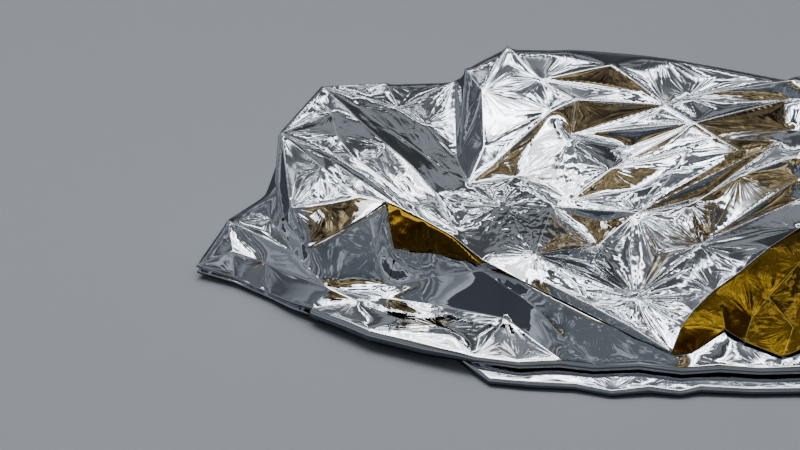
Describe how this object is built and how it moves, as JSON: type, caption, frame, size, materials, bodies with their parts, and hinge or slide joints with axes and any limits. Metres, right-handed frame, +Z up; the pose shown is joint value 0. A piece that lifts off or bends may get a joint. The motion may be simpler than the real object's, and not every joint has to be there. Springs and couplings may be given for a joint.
{
  "type": "folded emergency foil blanket",
  "caption": "Emergency foil blanket, silver outside and gold inside, folded back and forth into a loose crumpled pad that rests flat on a surface.",
  "frame": {"origin": "middle of the folded blanket's footprint, on the surface that it lies on", "axes": "+X along the long side, from the half-fold's tip to the open side edges; +Y from the lips of the front folds to the back folds; +Z up"},
  "size_m": [0.6658, 0.4352, 0.1605],
  "materials": {
    "foil": "bright metallised film"
  },
  "bodies": {
    "root": {"foil_blanket": "foil"}
  },
  "joints": []
}
